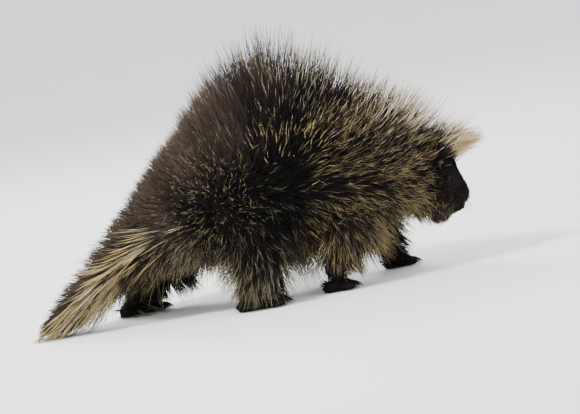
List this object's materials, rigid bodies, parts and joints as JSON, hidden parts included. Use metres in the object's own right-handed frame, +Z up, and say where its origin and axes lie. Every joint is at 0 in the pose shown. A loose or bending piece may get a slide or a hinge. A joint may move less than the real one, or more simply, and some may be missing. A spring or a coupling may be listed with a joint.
{
  "type": "porcupine",
  "caption": "Life-size still model of a North American porcupine in winter coat, walking with its head low, its back arched and its tail resting on the floor.",
  "frame": {"origin": "on the floor, under the middle of the whole, coat included", "axes": "+X towards the nose, -Y out of the right flank, +Z up"},
  "size_m": [0.7786, 0.3102, 0.4572],
  "materials": {
    "fur_dark": "dark brown fur and quills",
    "fur_olive": "olive yellow long hair",
    "face": "short black fur",
    "pad": "naked pebbled skin",
    "claw": "horn, half matt",
    "eye": "wet black"
  },
  "bodies": {
    "root": {"chest": "fur_dark", "claw_front_left_1": "claw", "claw_front_left_2": "claw", "claw_front_left_3": "claw", "claw_front_left_4": "claw", "claw_front_right_1": "claw", "claw_front_right_2": "claw", "claw_front_right_3": "claw", "claw_front_right_4": "claw", "claw_hind_left_1": "claw", "claw_hind_left_2": "claw", "claw_hind_left_3": "claw", "claw_hind_left_4": "claw", "claw_hind_left_5": "claw", "claw_hind_right_1": "claw", "claw_hind_right_2": "claw", "claw_hind_right_3": "claw", "claw_hind_right_4": "claw", "claw_hind_right_5": "claw", "ear_left": "face", "ear_right": "face", "eye_left": "eye", "eye_right": "eye", "foot_hind_left": "face", "foot_hind_right": "face", "forearm_front_left": "fur_olive", "forearm_front_right": "fur_olive", "head": "fur_dark", "loin": "fur_dark", "lower_jaw": "face", "muzzle": "face", "neck": "fur_dark", "nose": "face", "pad_front_left": "pad", "pad_front_right": "pad", "pad_hind_left": "pad", "pad_hind_right": "pad", "paw_front_left": "face", "paw_front_right": "face", "rump": "fur_dark", "shank_hind_left": "fur_olive", "shank_hind_right": "fur_olive", "tail_base": "fur_dark", "tail_middle": "fur_dark", "tail_tip": "fur_dark", "thigh_hind_left": "fur_dark", "thigh_hind_right": "fur_dark"}
  },
  "joints": []
}
